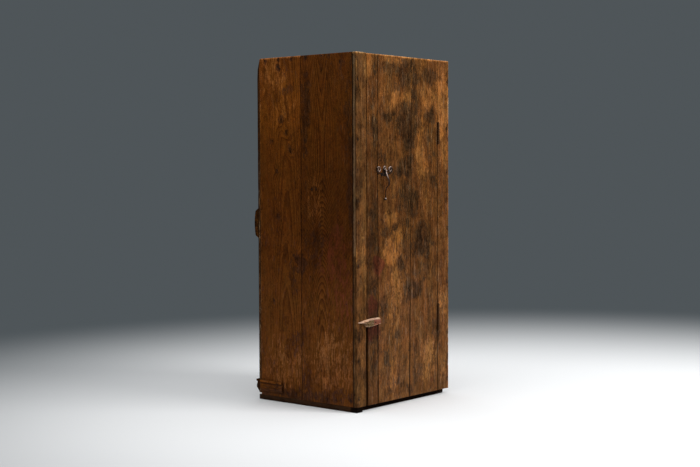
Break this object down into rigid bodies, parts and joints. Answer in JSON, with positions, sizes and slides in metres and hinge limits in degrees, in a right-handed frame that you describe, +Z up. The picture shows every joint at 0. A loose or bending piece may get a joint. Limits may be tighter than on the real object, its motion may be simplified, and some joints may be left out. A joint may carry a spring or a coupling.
{
  "type": "folk art cabinet",
  "caption": "Tall plank cupboard: a full-height ledged door on butt hinges, a forged scroll plate with a hanging drop handle, a wooden turn button, shelves inside and moulded ledges behind.",
  "frame": {"origin": "on the floor, under the middle of the carcass", "axes": "+X to the right of someone looking at the front, -Y out of the door, +Z up"},
  "size_m": [0.7083, 0.6548, 1.6],
  "materials": {
    "side_wood": "old red-brown waxed softwood with knots and worm holes",
    "front_wood": "honey-brown softwood with dark worn patches of old finish",
    "stile_wood": "greyed worn softwood",
    "inner_wood": "unfinished aged softwood",
    "base_wood": "dark unfinished softwood, dirty near the floor",
    "button_wood": "bare whittled wood, rubbed pale",
    "iron": "forged iron, dark brown with rubbed bright edges"
  },
  "bodies": {
    "carcass": {"left_side_front_board": "side_wood", "left_side_rear_board": "side_wood", "right_side_front_board": "side_wood", "right_side_rear_board": "side_wood", "left_stile": "stile_wood", "right_stile": "front_wood", "top_front_board": "side_wood", "top_rear_board": "side_wood", "bottom_front_board": "inner_wood", "bottom_rear_board": "inner_wood", "back_board_1": "side_wood", "back_board_2": "side_wood", "back_board_3": "side_wood", "back_board_4": "side_wood", "lower_shelf_front_board": "inner_wood", "lower_shelf_rear_board": "inner_wood", "middle_shelf_front_board": "inner_wood", "middle_shelf_rear_board": "inner_wood", "upper_shelf_front_board": "inner_wood", "upper_shelf_rear_board": "inner_wood", "left_lower_cleat": "inner_wood", "left_middle_cleat": "inner_wood", "left_upper_cleat": "inner_wood", "right_lower_cleat": "inner_wood", "right_middle_cleat": "inner_wood", "right_upper_cleat": "inner_wood", "left_runner": "base_wood", "right_runner": "base_wood", "front_rail": "base_wood", "back_rail": "base_wood", "back_ledge": "side_wood", "back_moulding": "side_wood", "side_moulding": "side_wood", "upper_hinge_stile_leaf": "iron", "upper_hinge_pin": "iron", "lower_hinge_stile_leaf": "iron", "lower_hinge_pin": "iron"},
    "door": {"door_board_1": "front_wood", "door_board_2": "front_wood", "door_board_3": "front_wood", "door_lower_ledge": "inner_wood", "door_middle_ledge": "inner_wood", "door_upper_ledge": "inner_wood", "upper_hinge_door_leaf": "iron", "lower_hinge_door_leaf": "iron", "scroll_plate": "iron", "handle_pin": "iron", "plate_left_nail": "iron", "plate_right_nail": "iron", "button_nail": "iron"},
    "handle": {"drop_handle": "iron"},
    "button": {"turn_button": "button_wood"}
  },
  "joints": [
    {"name": "door_swing", "type": "hinge", "parent": "carcass", "child": "door", "pos_m": [0.259, -0.3051, 0.8], "axis": [0, 0, 1], "range_deg": [0, 165]},
    {"name": "handle_lift", "type": "hinge", "parent": "door", "child": "handle", "pos_m": [-0.149, -0.3093, 1.0765], "axis": [-1, 0, 0], "range_deg": [0, 90]},
    {"name": "button_turn", "type": "hinge", "parent": "door", "child": "button", "pos_m": [-0.2355, -0.2998, 0.398], "axis": [0, -1, 0], "continuous": true}
  ]
}
